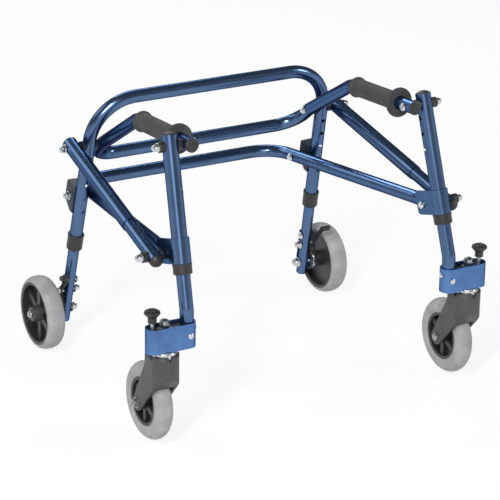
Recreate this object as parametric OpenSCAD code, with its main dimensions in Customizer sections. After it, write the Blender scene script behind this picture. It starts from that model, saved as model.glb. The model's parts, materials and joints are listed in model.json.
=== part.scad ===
// Posterior walker: a folding four-wheeled frame that stands behind its user.
// +X is the user's right in the view from the open front, -Y is the open front, +Z is up, floor at z = 0.

/* [Frame] */
// Height of the upper pivots, where the handle tube crosses the rear uprights
upper_pivot_height = 377.5; // [340:0.5:430]
// Distance from the middle plane to a rear upright at its upper pivot
rear_half_width = 223; // [200:0.5:260]
// Forward lean of the rear uprights, degrees
rear_lean = 13.2; // [8:0.1:18]
// Length of rear upright above the upper pivot, to the middle of the top bar
top_bar_rise = 81; // [81:0.5:110]
// Centre-line radius of the top bar's corner bends
top_bend = 76; // [50:0.5:76]
// Height of the handle pivots on the front uprights
handle_pivot_height = 470; // [430:0.5:540]
// How much farther out a front upright stands at its handle pivot than a rear upright at its upper pivot
front_flare = 8.5; // [0:0.5:20]
// Level distance from the upper pivots forward to the handle pivots
pivot_reach = 305.5; // [280:0.5:340]
// Rearward lean of the front uprights, degrees
front_lean = 17; // [12:0.1:20]
// Outward splay of all four legs, degrees
leg_splay = 2.4; // [0:0.1:4]
// Lower pivot's distance down the rear upright from the upper pivot
lower_pivot_drop = 106; // [98:0.5:130]
// Lower pivot's distance behind the rear upright's axis
lower_pivot_back = 19; // [18:0.5:26]
// Strap pivot's distance down the front upright from the handle pivot
strap_pivot_drop = 165; // [150:0.5:180]
// Strap pivot's distance behind the front upright's axis
strap_pivot_back = 32.5; // [31:0.5:38]

/* [Tubes] */
// Outside diameter of the rear frame, handle and lower tubes
frame_od = 22.2; // [20:0.1:24]
// Outside diameter of the front uprights and of the struts' outer tubes
front_od = 25.4; // [24:0.1:28]
// Outside diameter of the front lower legs and of the struts' inner tubes
front_leg_od = 22.2; // [20:0.1:22.6]
// Outside diameter of the rear lower legs
rear_leg_od = 19.05; // [17:0.05:19.2]
// Wall of the handle tube and the lower tube
tube_wall = 1.5; // [1.2:0.1:2.5]
// Wall of the lower legs and of the struts' inner tubes
leg_wall = 1.2; // [1:0.1:2]
// Radial clearance of a telescoping tube
slide_clearance = 0.08; // [0.05:0.01:0.1]

/* [Handle tube] */
// Upward slope of the grips towards the front, degrees
grip_slope = 4; // [0:0.5:8]
// Slope of the side arms from the upper pivots down to the crossbar, degrees
arm_rear_slope = 38.5; // [34:0.5:44]
// Level distance from the upper pivots back to the handle's crossbar
handle_cross_back = 46; // [44:0.5:60]
// Centre-line radius of the bend behind each grip
grip_bend = 40; // [30:1:44]
// Centre-line radius of the crossbar's corner bends
handle_corner_bend = 42; // [35:0.5:44]
// Handle tube in front of the handle pivot
handle_overhang = 16; // [14:0.5:24]
// Distance from the handle pivot back to the grip's flange
grip_setback = 28; // [26:0.5:34]
// Length of a grip with its flange
grip_length = 132; // [110:1:140]
// Straight tube between a grip's rear end and the bend behind it
grip_clear = 2.3303; // [1:0.0001:8]
// Depth of an end plug in the handle tube
plug_depth = 10; // [6:0.5:14]
// Height of an end plug's head
plug_head = 3; // [2:0.1:5]
// Diameter of a grip
grip_diameter = 30; // [28:0.5:34]
// Diameter of a grip's rounded rear bead
grip_bead_diameter = 35; // [34:0.5:40]
// Diameter of a grip's front flange
grip_flange_diameter = 49; // [44:0.5:52]

/* [Lower tube] */
// Distance from the lower pivots back to the lower crossbar
lower_cross_back = 68; // [60:0.5:80]
// Centre-line radius of the lower crossbar's corner bends
lower_corner_bend = 55; // [40:0.5:58]
// Length of lower tube in front of the strap pivot
lower_tube_nose = 12; // [10:0.5:13]
// Length of lower tube behind the strap pivot that runs straight between the strap's cheeks
lower_tube_straight = 40; // [34:0.5:60]

/* [Pivots] */
// Diameter of the pivot bolts
bolt_diameter = 6.4; // [5:0.1:7]
// Radial clearance of a pivot bolt in the tube that turns on it
pivot_clearance = 0.08; // [0.05:0.01:0.1]
// Gap between two pieces that turn or slide past each other
turning_gap = 0.35; // [0.3:0.05:0.5]
// Gap between a piece and the seat it is fixed on
seat_gap = 0.05; // [0.02:0.01:0.1]
// Thickness of the spacers between the rear uprights and the handle tube
inner_spacer = 2.5; // [2:0.1:5]
// Thickness of the spacers between the rear uprights and the struts
outer_spacer = 4.4; // [3:0.1:8]
// Thickness of the washers between the rear brackets and the lower tube
lower_washer = 2.4; // [2.2:0.1:4]
// Diameter of the washers between the rear brackets and the lower tube
lower_washer_diameter = 11; // [9:0.5:12]
// Thickness of the saddles between the front uprights and the handle tube
handle_saddle = 5; // [3:0.1:8]
// Thickness of the saddles under the nuts
nut_saddle = 8; // [5:0.1:9]
// Diameter of the spacers and saddles
saddle_diameter = 17; // [14:0.5:18]
// Thickness of the bolts' heads
bolt_head = 4.5; // [3:0.1:6]
// Diameter of the bolts' heads
bolt_head_diameter = 13; // [11:0.1:15]
// Width across the flats of the cap nuts
cap_nut_flats = 11; // [10:0.1:13]
// Length of the cap nuts
cap_nut_length = 11; // [9:0.1:14]

/* [Rear brackets] */
// Width of the rear pivot brackets
bracket_width = 26; // [25:0.5:30]
// Distance from the rear upright's axis to the bracket's back
bracket_back = 33; // [31:0.5:40]
// Height of the bracket above the lower pivot
bracket_above = 27; // [24:0.5:36]
// Height of the bracket below the lower pivot
bracket_below = 25; // [18:0.5:34]

/* [Front straps] */
// Thickness of the strap that wraps the front upright
strap_wall = 2.4; // [2:0.1:3.2]
// Distance from the front upright's axis to the strap's rear edge
strap_back = 48; // [45:0.5:56]
// Height of the strap above its pivot
strap_above = 24; // [18:0.5:30]
// Height of the strap below its pivot
strap_below = 16; // [14:0.5:24]

/* [Struts] */
// Length of a strut's outer tube from its pivot
strut_outer_length = 241; // [220:1:260]
// Distance from the strut's pivot to its snap button
strut_button_at = 52; // [46:0.5:70]
// Thickness of the saddle between the strap and the strut
strut_saddle = 5; // [4:0.1:8]
// Room for the strap's tilt between the strap and the strut's saddle
strut_tilt_room = 1.3; // [1.2:0.1:2]

/* [Height adjustment] */
// Spacing of the height holes
hole_pitch = 25.4; // [20:0.1:30]
// Distance from the upper pivot down to the rear snap button
rear_button_at = 72; // [66:0.5:84]
// Distance from the handle pivot down to the front snap button
front_button_at = 73; // [66:0.5:84]
// Diameter of the snap buttons
button_diameter = 6; // [5:0.1:7]
// Length of lower leg above its snap button
leg_top_margin = 15; // [12:0.5:16]
// Height of the snap buttons over the outer tube
button_height = 2.2; // [1.5:0.1:3]
// Length of the front collars
front_collar_length = 17; // [12:0.5:20]
// Length of the rear collars
rear_collar_length = 29; // [20:0.5:34]
// Distance from the upper pivot down to the top of the rear collar
rear_collar_at = 172; // [165:0.5:185]
// Wall of the collars
collar_wall = 2.4; // [1.8:0.1:3.5]

/* [Wheels] */
// Diameter of all four wheels
wheel_diameter = 127; // [115:0.5:140]
// Width of the front tyres
front_tyre_width = 30; // [26:0.5:30.5]
// Diameter of the front wheels' rims
front_rim_diameter = 80; // [72:0.5:88]
// Width of the rear tyres
rear_tyre_width = 32; // [28:0.5:36]
// Radial depth of the rear tyres
rear_tyre_depth = 9; // [7:0.5:12]
// Distance from a rear leg's axis to its wheel's middle plane, at the axle
rear_wheel_offset = 43; // [41:0.5:50]
// Length of rear lower leg below the axle
rear_leg_below_axle = 23; // [15:0.5:26]
// Diameter of the wheel axles
axle_diameter = 8; // [7:0.1:9]
// Number of spokes in each wheel
spokes = 6; // [5:1:8]

/* [Casters] */
// Height at which the front lower legs bend upright
leg_bend_height = 227; // [222:0.5:236]
// Centre-line radius of the front lower legs' bend
leg_bend = 30; // [24:1:50]
// Height of the caster housing's lower face
housing_bottom = 169; // [164:0.5:174]
// Height of the caster housing
housing_height = 41; // [36:0.5:44]
// Width of the caster housing
housing_width = 29; // [28.5:0.5:36]
// Housing beyond the leg's axis, towards the middle
housing_inboard = 14; // [13.5:0.5:17]
// Distance from the leg's axis to the kingpin
kingpin_offset = 38.5; // [36:0.5:44]
// Distance from the kingpin to the swivel lock's pin
lock_offset = 21; // [19.5:0.5:22]
// Housing beyond the lock pin
housing_outboard = 11; // [10:0.5:18]
// Depth of the recess in the housing's top
housing_recess = 5; // [3:0.5:8]
// Diameter of the kingpin
kingpin_diameter = 12; // [10:0.5:13]
// Distance the wheel trails behind the kingpin
caster_trail = 51.5; // [45:0.5:56]
// Diameter of the fork's crown
crown_diameter = 46; // [46:0.5:52]
// Height of the fork's crown
crown_height = 20; // [17:0.5:22]
// Gap between the crown and the housing
crown_gap = 6; // [4:0.5:8]
// Thickness of the fork's cheeks
fork_cheek = 5.5; // [4.5:0.5:5.5]
// Side clearance between fork and tyre
fork_side_gap = 2; // [1.5:0.1:2.3]
// Travel of the swivel lock's pin
lock_travel = 7; // [5:0.5:8]
// Diameter of the swivel lock's pin
lock_pin_diameter = 5.6; // [4:0.1:6]
// Diameter of the swivel lock's knob
lock_knob_diameter = 26; // [20:0.5:30]

/* [One-way brake] */
// Number of ratchet teeth
ratchet_teeth = 12; // [12:12:24]
// Radius over the ratchet's teeth
ratchet_radius = 17; // [15:0.5:18]
// Depth of the ratchet's teeth
ratchet_depth = 3; // [2:0.1:3.5]
// Distance from the axle up the leg to the pawl's pivot
pawl_pivot_up = 38; // [35:0.5:44]
// Distance from the pawl's pivot up to its knob
pawl_lever = 50; // [44:0.5:56]
// Forward lean of the pawl's lever, degrees
pawl_lever_lean = 43; // [35:1:48]
// Thickness of the pawl
pawl_thickness = 3.2; // [2.5:0.1:4]
// Length of the pawl's knob
pawl_knob_length = 16.5; // [14:0.5:22]

/* [Hidden] */
$fn = 48;

blue = [0.12, 0.24, 0.5];
black = [0.1, 0.1, 0.1];
dark_grey = [0.24, 0.24, 0.25];
tyre_grey = [0.6, 0.6, 0.6];
zinc = [0.8, 0.8, 0.82];

frame_r = frame_od / 2;
front_r = front_od / 2;
front_leg_r = front_leg_od / 2;
rear_leg_r = rear_leg_od / 2;
bolt_r = bolt_diameter / 2;
button_r = button_diameter / 2;
saddle_r = saddle_diameter / 2;
wheel_r = wheel_diameter / 2;
axle_r = axle_diameter / 2;
kingpin_r = kingpin_diameter / 2;
lock_pin_r = lock_pin_diameter / 2;
crown_r = crown_diameter / 2;
rear_wall = frame_r - rear_leg_r - slide_clearance;
front_wall = front_r - front_leg_r - slide_clearance;
button_hole_r = button_r + turning_gap;
cut = 1;

// Vectors and places, for the side at +X
function unit(v) = v / norm(v);
function leaned(lean, splay, v) =
    let (y = v[1] * cos(lean) - v[2] * sin(lean), z = v[1] * sin(lean) + v[2] * cos(lean))
    [v[0] * cos(splay) + z * sin(splay), y, -v[0] * sin(splay) + z * cos(splay)];
function on_rear_leg(back, down) = upper_pivot + leaned(rear_lean, -leg_splay, [0, back, -down]);
function on_front_leg(back, down) = handle_pivot + leaned(-front_lean, -leg_splay, [0, back, -down]);
function mirrored(v) = [-v[0], v[1], v[2]];
function u_path(half) = concat(half, [for (i = [len(half) - 1 : -1 : 0]) mirrored(half[i])]);

upper_pivot = [rear_half_width, 0, upper_pivot_height];
front_half_width = rear_half_width + front_flare;
handle_pivot = [front_half_width, -pivot_reach, handle_pivot_height];
lower_pivot = on_rear_leg(lower_pivot_back, lower_pivot_drop);
strap_pivot = on_front_leg(strap_pivot_back, strap_pivot_drop);

// Rear legs: the axle lies on the leg's axis at wheel height
rear_axle_down = (upper_pivot_height - wheel_r) / (cos(rear_lean) * cos(leg_splay));
rear_axle = on_rear_leg(0, rear_axle_down);
rear_upright_end = rear_collar_at + rear_collar_length - 4;
rear_wheel_x = rear_axle[0] + rear_wheel_offset;

// Front legs: the lower leg bends upright at its bend height and goes down into the housing
leg_bend_down = (handle_pivot_height - leg_bend_height) / (cos(front_lean) * cos(leg_splay));
leg_corner = on_front_leg(0, leg_bend_down);
kingpin = [leg_corner[0] + kingpin_offset, leg_corner[1], housing_bottom];
housing_top = housing_bottom + housing_height;
housing_floor = housing_top - housing_recess;
crown_top = housing_bottom - crown_gap;
caster_axle = [kingpin[0], kingpin[1] + caster_trail, wheel_r];
fork_inner_half = front_tyre_width / 2 + fork_side_gap;
fork_half = fork_inner_half + fork_cheek;
strap_top = strap_pivot_drop - strap_above;
strap_bottom = strap_pivot_drop + strap_below;
front_upright_end = strap_bottom + front_collar_length - 4;

// Handle tube: level grips, sloping arms, crossbar behind the upper pivots
handle_x_front = front_half_width - front_r - handle_saddle - turning_gap - frame_r;
handle_x_rear = rear_half_width - frame_r - inner_spacer - turning_gap - frame_r;
// The bend behind a grip starts at the end of the grip's straight; its arm runs straight to the upper pivot
grip_straight = grip_setback + grip_length + grip_clear;
grip_bend_drop = handle_pivot_height - upper_pivot_height
    - grip_straight * sin(grip_slope) - grip_bend * cos(grip_slope);
grip_bend_reach = pivot_reach - grip_straight * cos(grip_slope) + grip_bend * sin(grip_slope);
arm_slope = atan2(grip_bend_drop, grip_bend_reach)
    + asin(grip_bend / norm([grip_bend_drop, grip_bend_reach]));
handle_bend_y = (upper_pivot_height - handle_pivot_height + pivot_reach * tan(grip_slope))
    / (tan(arm_slope) - tan(grip_slope));
function handle_x(y) = handle_x_rear + (handle_x_rear - handle_x_front) * y / pivot_reach;
function on_grip(y) = [handle_x(y), y, handle_pivot_height - (y + pivot_reach) * tan(grip_slope)];
function on_arm(y) = [handle_x(y), y, upper_pivot_height - y * tan(arm_rear_slope)];
handle_half = [
    on_grip(-pivot_reach - handle_overhang), on_grip(handle_bend_y), on_arm(0), on_arm(handle_cross_back)
];
pivot_bend = 90;
grip_front = on_grip(-pivot_reach + grip_setback * cos(grip_slope));
grip_axis = unit(on_grip(0) - on_grip(-pivot_reach));

// Extra room beside a tube that turns about a pivot but doesn't lie square to it
toe_room = turning_gap + 0.7;
// Lower tube: straight between the strap's cheeks, toed in to the rear brackets, crossbar behind them
lower_rise = (strap_pivot[2] - lower_pivot[2]) / (lower_pivot[1] - strap_pivot[1]);
lower_x_rear = lower_pivot[0] - bracket_width / 2 - lower_washer - toe_room - frame_r;
function on_lower(x, y) = [x, y, lower_pivot[2] + (lower_pivot[1] - y) * lower_rise];
lower_knee_y = strap_pivot[1] + lower_tube_straight;
lower_toe = (lower_x_rear - strap_pivot[0]) / (lower_pivot[1] - lower_knee_y);
lower_cross_y = lower_pivot[1] + lower_cross_back;
lower_half = [
    on_lower(strap_pivot[0], strap_pivot[1] - lower_tube_nose),
    on_lower(strap_pivot[0], lower_knee_y),
    on_lower(lower_x_rear + lower_toe * lower_cross_back, lower_cross_y)
];

// Struts run from the upper pivots to the strap pivots, outside the uprights
strap_face = front_r + seat_gap + strap_wall;
strut_top = [rear_half_width + frame_r + outer_spacer + toe_room + front_r, upper_pivot[1], upper_pivot[2]];
strut_foot = [
    strap_pivot[0] + strap_face + strut_tilt_room + strut_saddle + front_leg_r, strap_pivot[1], strap_pivot[2]
];
strut_axis = unit(strut_foot - strut_top);
strut_length = norm(strut_foot - strut_top);
strut_end_margin = 13;
strut_foot_margin = 15;
strut_inner_start = strut_button_at - leg_top_margin;

// The origin lies under the middle of the whole walker
front_reach = -kingpin[1] + crown_r;
rear_reach = rear_axle[1] + wheel_r;
origin_shift = (front_reach - rear_reach) / 2;

// Shared shapes
module place() { translate([0, origin_shift, 0]) children(); }
module side(s) { if (s > 0) children(); else mirror([1, 0, 0]) children(); }
module both() { children(); mirror([1, 0, 0]) children(); }
module rear_leg() { translate(upper_pivot) rotate([rear_lean, -leg_splay, 0]) children(); }
module front_leg() { translate(handle_pivot) rotate([-front_lean, -leg_splay, 0]) children(); }
module on_basis(o, x, y, z) {
    multmatrix([[x[0], y[0], z[0], o[0]], [x[1], y[1], z[1], o[1]], [x[2], y[2], z[2], o[2]]]) children();
}
// Local z along the given direction, local x as near as possible to the world's X
module along(origin, direction) {
    z = unit(direction);
    x = unit(cross(abs(z[0]) > 0.9 ? [0, 1, 0] : cross(z, [1, 0, 0]), z));
    on_basis(origin, x, cross(z, x), z) children();
}
module x_rod(x0, x1, r) { translate([x0, 0, 0]) rotate([0, 90, 0]) cylinder(h = x1 - x0, r = r); }
module at_yz(p) { translate([0, p[1], p[2]]) children(); }

// A bent tube along a path of corner points, one bend radius per inner corner
function bend_angle(p, i) = acos(unit(p[i] - p[i - 1]) * unit(p[i + 1] - p[i]));
function bend_setback(p, b, i) = i == 0 || i == len(p) - 1 ? 0 : b[i - 1] * tan(bend_angle(p, i) / 2);
module ring(r, wall) {
    difference() {
        circle(r);
        circle(r - wall);
    }
}
// The straight runs lap over the ends of the bends, which are drawn a hair thinner inside and out
bend_lap = 0.6;
bend_thinning = 0.02;
module bent_tube(p, b, r, wall) {
    for (i = [0 : len(p) - 2]) {
        u = unit(p[i + 1] - p[i]);
        lap_start = i == 0 ? 0 : bend_lap;
        lap_end = i == len(p) - 2 ? 0 : bend_lap;
        start = p[i] + u * (bend_setback(p, b, i) - lap_start);
        run = norm(p[i + 1] - p[i]) - bend_setback(p, b, i) - bend_setback(p, b, i + 1) + lap_start + lap_end;
        along(start, u) linear_extrude(run) ring(r, wall);
    }
    for (i = [1 : len(p) - 2]) {
        u = unit(p[i] - p[i - 1]);
        v = unit(p[i + 1] - p[i]);
        n = unit(v - u * (u * v));
        start = p[i] - u * bend_setback(p, b, i);
        on_basis(start + n * b[i - 1], -n, u, cross(u, n)) rotate_extrude(angle = bend_angle(p, i))
            translate([b[i - 1], 0]) ring(r - bend_thinning, wall - 2 * bend_thinning);
    }
}

// Fasteners along X: a round head whose bearing face is at x = 0 and points to +X
module round_head() {
    translate([-bolt_head, 0, 0]) rotate([0, 90, 0]) rotate_extrude()
        polygon([
            [0, 0], [bolt_head_diameter * 0.3, 0], [bolt_head_diameter * 0.46, bolt_head * 0.4],
            [bolt_head_diameter / 2, bolt_head * 0.75], [bolt_head_diameter / 2, bolt_head], [0, bolt_head]
        ]);
}
// A domed hexagon nut whose bearing face is at x = 0, reaching to +X, hollow over the bolt's end
module cap_nut(r = bolt_r, flats = cap_nut_flats, length = cap_nut_length) {
    dome_r = flats * 0.62;
    rotate([0, 90, 0]) difference() {
        union() {
            cylinder(h = length * 0.55, r = flats / sqrt(3), $fn = 6);
            rotate_extrude() union() {
                square([flats * 0.68, 1.4]);
                intersection() {
                    translate([0, length - dome_r]) circle(dome_r);
                    square([flats * 0.46, length]);
                }
            }
        }
        translate([0, 0, -cut]) cylinder(h = length * 0.7 + cut, r = r + seat_gap);
    }
}
module snap_holes(r, holes) {
    for (h = holes) translate([0, 0, -h]) rotate([90, 0, 0]) cylinder(h = 2 * r, r = button_hole_r);
}
// A snap button on its folded leaf spring; the button points to -Y at z = 0 and the leaves hang below
button_travel = 4;
module snap_clip(bore_r, outer_r) {
    leaf = 0.8;
    width = button_diameter;
    drop = 30;
    front = -sqrt(pow(bore_r, 2) - pow(width / 2, 2)) + 0.3;
    back = -front - button_travel;
    middle = (front + back) / 2;
    intersection() {
        union() {
            translate([0, front + leaf, 0]) rotate([90, 0, 0])
                cylinder(h = outer_r + button_height + front + leaf - button_r * 0.5, r = button_r);
            translate([0, -outer_r - button_height + button_r, 0]) sphere(button_r);
        }
        translate([-cut - button_r, -outer_r - button_height, -cut - button_r])
            cube([2 * button_r + 2 * cut, outer_r + button_height + front + leaf, 2 * button_r + 2 * cut]);
    }
    translate([-width / 2, 0, 0]) rotate([90, 0, 90]) linear_extrude(width) polygon([
        [front, button_r + 2], [front + leaf, button_r + 2], [front + leaf, -drop * 0.7],
        [middle, -drop + leaf * 2], [back - leaf, -drop * 0.35], [back, -drop * 0.35],
        [middle, -drop], [front, -drop * 0.7]
    ]);
}
// A collar over the end of an upright; its lip closes on the leg that slides through it
module collar(length, tube_r, leg_r) {
    outer = tube_r + collar_wall;
    lip = 3.5;
    rotate_extrude() polygon([
        [tube_r + seat_gap, 0], [outer - 0.6, 0], [outer + 0.5, -0.8], [outer + 0.5, -3.2], [outer, -4],
        [outer, -length + 1.5], [outer - 1, -length], [leg_r + turning_gap, -length],
        [leg_r + turning_gap, -length + lip], [tube_r + seat_gap, -length + lip]
    ]);
}

// Rear frame
rear_frame_half = [on_rear_leg(0, rear_upright_end), on_rear_leg(0, -top_bar_rise)];
module rear_frame() {
    color(blue) difference() {
        bent_tube(u_path(rear_frame_half), [top_bend, top_bend], frame_r, rear_wall);
        at_yz(upper_pivot) x_rod(-rear_half_width - front_od, rear_half_width + front_od, bolt_r + seat_gap);
        both() rear_leg() snap_holes(frame_r, [for (i = [-2 : 2]) rear_button_at + i * hole_pitch]);
    }
}
module rear_collars() {
    color(black) both() rear_leg() translate([0, 0, -rear_collar_at])
        collar(rear_collar_length, frame_r, rear_leg_r);
}
module rear_bracket() {
    half = bracket_width / 2;
    corner = 9;
    difference() {
        rear_leg() difference() {
            translate([-half, 0, -lower_pivot_drop]) rotate([90, 0, 90]) linear_extrude(bracket_width) union() {
                polygon([
                    [2, -bracket_below], [12, -bracket_below], [bracket_back, -bracket_below * 0.42],
                    [bracket_back, bracket_above - corner], [bracket_back - corner, bracket_above],
                    [2, bracket_above]
                ]);
                translate([bracket_back - corner, bracket_above - corner]) circle(corner);
            }
            translate([0, 0, -lower_pivot_drop - 2 * bracket_below])
                cylinder(h = 2 * (bracket_above + bracket_below), r = frame_r + seat_gap);
        }
        at_yz(lower_pivot) x_rod(0, 2 * rear_half_width, bolt_r + seat_gap);
    }
}
// A saddle on an upright whose far face lies at the given distance from the upright's axis
module saddle(reach, tube_r) {
    difference() {
        x_rod(0, reach, saddle_r);
        x_rod(-cut, reach + cut, bolt_r + seat_gap);
    }
}
// The brackets follow the legs' splay, so a washer square to its bolt stands off by a little
washer_seat = 0.35;
module rear_pivot_mounts() {
    color(black) both() {
        rear_bracket();
        at_yz(lower_pivot) translate([lower_pivot[0] - bracket_width / 2 - lower_washer, 0, 0]) difference() {
            x_rod(0, lower_washer - washer_seat, lower_washer_diameter / 2);
            x_rod(-cut, lower_washer + cut, bolt_r + seat_gap);
        }
        difference() {
            translate(upper_pivot) {
                mirror([1, 0, 0]) saddle(frame_r + inner_spacer, frame_r);
                saddle(frame_r + outer_spacer, frame_r);
            }
            rear_leg() cylinder(h = 4 * saddle_diameter, r = frame_r + seat_gap, center = true);
        }
    }
}
module rear_pivot_bolts() {
    upper_in = handle_x_rear - frame_r - turning_gap;
    upper_out = strut_top[0] + front_r + toe_room;
    lower_in = lower_x_rear - frame_r - toe_room;
    lower_out = lower_pivot[0] + bracket_width / 2;
    color(zinc) both() {
        at_yz(upper_pivot) {
            translate([upper_in, 0, 0]) round_head();
            x_rod(upper_in, upper_out + cap_nut_length * 0.6, bolt_r);
            translate([upper_out, 0, 0]) cap_nut();
        }
        at_yz(lower_pivot) {
            translate([lower_in, 0, 0]) round_head();
            x_rod(lower_in, lower_out + cap_nut_length * 0.6, bolt_r);
            translate([lower_out + washer_seat, 0, 0]) cap_nut();
        }
    }
}

// Handle tube with its grips
module handle_tube() {
    color(blue) difference() {
        bent_tube(
            u_path(handle_half),
            [grip_bend, pivot_bend, handle_corner_bend, handle_corner_bend, pivot_bend, grip_bend],
            frame_r, tube_wall
        );
        for (p = [upper_pivot, handle_pivot])
            at_yz(p) x_rod(-front_half_width, front_half_width, bolt_r + pivot_clearance);
    }
}
module grips() {
    grip_r = grip_diameter / 2;
    bead_r = grip_bead_diameter / 2;
    flange_r = grip_flange_diameter / 2;
    flange = 4;
    bore = frame_r + seat_gap;
    bead = 12;
    color(dark_grey) both() along(grip_front, grip_axis) rotate_extrude() union() {
        translate([bore, 0]) square([grip_r - bore, grip_length - bead / 2]);
        polygon([
            [bore, 0], [flange_r - 1, 0], [flange_r, 1], [flange_r, flange - 1], [flange_r - 1, flange],
            [grip_r + 2, flange + 1], [grip_r, flange + 4], [bore, flange + 4]
        ]);
        intersection() {
            translate([bead_r - bead / 2, grip_length - bead / 2]) circle(bead / 2);
            translate([bore, 0]) square([bead_r, 2 * grip_length]);
        }
        translate([bore, grip_length - bead]) square([bead_r - bead / 2 - bore, bead]);
    }
}
module handle_plugs() {
    bore = frame_r - tube_wall - seat_gap;
    lip = frame_r + 0.4;
    color(black) both() along(handle_half[0], -grip_axis) rotate_extrude() polygon([
        [0, -plug_depth], [bore, -plug_depth], [bore, 0], [lip, 0],
        [lip, plug_head * 0.5], [frame_r * 0.8, plug_head * 0.9], [0, plug_head]
    ]);
}

// Lower tube
module lower_tube() {
    knee_bend = 80;
    color(blue) difference() {
        bent_tube(
            u_path(lower_half), [knee_bend, lower_corner_bend, lower_corner_bend, knee_bend], frame_r, tube_wall
        );
        for (p = [lower_pivot, strap_pivot])
            at_yz(p) x_rod(-2 * front_half_width, 2 * front_half_width, bolt_r + pivot_clearance);
    }
}

// Struts
module strut() { along(strut_top, strut_axis) children(); }
module strut_outer() {
    color(blue) difference() {
        strut() difference() {
            translate([0, 0, -strut_end_margin]) linear_extrude(strut_outer_length + strut_end_margin)
                ring(front_r, front_wall);
            translate([0, 0, strut_button_at]) rotate([90, 0, 0]) cylinder(h = front_od, r = button_hole_r);
        }
        at_yz(strut_top) x_rod(rear_half_width, 2 * rear_half_width, bolt_r + pivot_clearance);
    }
}
module end_cap(tube_r, wall, dome, insert) {
    rotate_extrude() union() {
        translate([0, -insert]) square([tube_r - wall - seat_gap, insert + dome * 0.3]);
        intersection() {
            scale_r = (tube_r * tube_r + dome * dome) / (2 * dome);
            translate([0, dome - scale_r]) circle(scale_r);
            square([tube_r, dome]);
        }
    }
}
module strut_cap() {
    color(black) strut() translate([0, 0, -strut_end_margin]) mirror([0, 0, 1])
        end_cap(front_r, front_wall, 6, strut_end_margin - bolt_r - 2);
}
module strut_inner() {
    color(blue) difference() {
        strut() difference() {
            translate([0, 0, strut_inner_start])
                linear_extrude(strut_length + strut_foot_margin - strut_inner_start) ring(front_leg_r, leg_wall);
            translate([0, 0, strut_button_at]) rotate([90, 0, 0]) cylinder(h = front_od, r = button_hole_r);
        }
        at_yz(strut_foot) x_rod(strap_pivot[0], 2 * strut_foot[0], bolt_r + seat_gap);
    }
}
module strut_fittings() {
    color(black) {
        strut() translate([0, 0, strut_length + strut_foot_margin])
            end_cap(front_leg_r, leg_wall, 9, strut_foot_margin - bolt_r - 2);
        difference() {
            translate(strut_foot) {
                mirror([1, 0, 0]) saddle(front_leg_r + strut_saddle, front_leg_r);
                saddle(front_leg_r + nut_saddle, front_leg_r);
            }
            strut() cylinder(h = 2 * strut_length, r = front_leg_r + seat_gap);
        }
    }
}
module strut_bolt() {
    inner = strut_foot[0] - front_leg_r - strut_saddle;
    outer = strut_foot[0] + front_leg_r + nut_saddle;
    color(zinc) at_yz(strut_foot) {
        x_rod(inner, outer + cap_nut_length * 0.6, bolt_r);
        translate([outer + seat_gap, 0, 0]) cap_nut();
    }
}
module strut_button() {
    color(zinc) strut() translate([0, 0, strut_button_at]) mirror([0, 0, 1])
        snap_clip(front_leg_r - leg_wall, front_r);
}

// Front legs
module front_upright() {
    top = 17;
    color(blue) difference() {
        front_leg() difference() {
            translate([0, 0, -front_upright_end]) linear_extrude(front_upright_end + top) ring(front_r, front_wall);
            rotate([0, 0, -90])
                snap_holes(front_r, [for (i = [-2 : 0]) front_button_at + i * hole_pitch]);
        }
        at_yz(handle_pivot) x_rod(0, 2 * front_half_width, bolt_r + seat_gap);
    }
}
module front_strap() {
    inner = front_r + seat_gap;
    corner = 7;
    height = strap_above + strap_below;
    color(blue) difference() {
        front_leg() translate([0, 0, -strap_bottom]) intersection() {
            linear_extrude(height) difference() {
                union() {
                    circle(inner + strap_wall);
                    translate([-inner - strap_wall, 0]) square([2 * (inner + strap_wall), strap_back]);
                }
                circle(inner);
                translate([-inner, 0]) square([2 * inner, strap_back + cut]);
            }
            rotate([90, 0, 90]) linear_extrude(4 * front_od, center = true) union() {
                translate([-front_od, 0]) square([front_od + strap_back - corner, height]);
                translate([0, corner]) square([strap_back, height - 2 * corner]);
                for (z = [corner, height - corner]) translate([strap_back - corner, z]) circle(corner);
            }
        }
        at_yz(strap_pivot) x_rod(0, 2 * front_half_width, bolt_r + seat_gap);
    }
}
module front_plastics() {
    color(black) {
        front_leg() {
            translate([0, 0, 17]) end_cap(front_r, front_wall, 5, 17 - bolt_r - 2);
            translate([0, 0, -strap_bottom - seat_gap]) collar(front_collar_length, front_r, front_leg_r);
        }
        difference() {
            translate(handle_pivot) {
                mirror([1, 0, 0]) saddle(front_r + handle_saddle, front_r);
                saddle(front_r + nut_saddle, front_r);
            }
            front_leg() cylinder(h = 4 * saddle_diameter, r = front_r + seat_gap, center = true);
        }
    }
}
module front_bolts() {
    handle_in = handle_x_front - frame_r - turning_gap;
    handle_out = handle_pivot[0] + front_r + nut_saddle;
    strap_in = strap_pivot[0] - strap_face;
    head_tilt_room = 0.5;
    color(zinc) {
        at_yz(handle_pivot) {
            translate([handle_in, 0, 0]) round_head();
            x_rod(handle_in, handle_out + cap_nut_length * 0.6, bolt_r);
            translate([handle_out + seat_gap, 0, 0]) cap_nut();
        }
        at_yz(strap_pivot) {
            translate([strap_in - head_tilt_room, 0, 0]) round_head();
            x_rod(strap_in - head_tilt_room, strap_in + strap_wall, bolt_r);
        }
    }
}
module front_button() {
    color(zinc) front_leg() translate([0, 0, -front_button_at]) rotate([0, 0, -90])
        snap_clip(front_leg_r - leg_wall, front_r);
}

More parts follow.
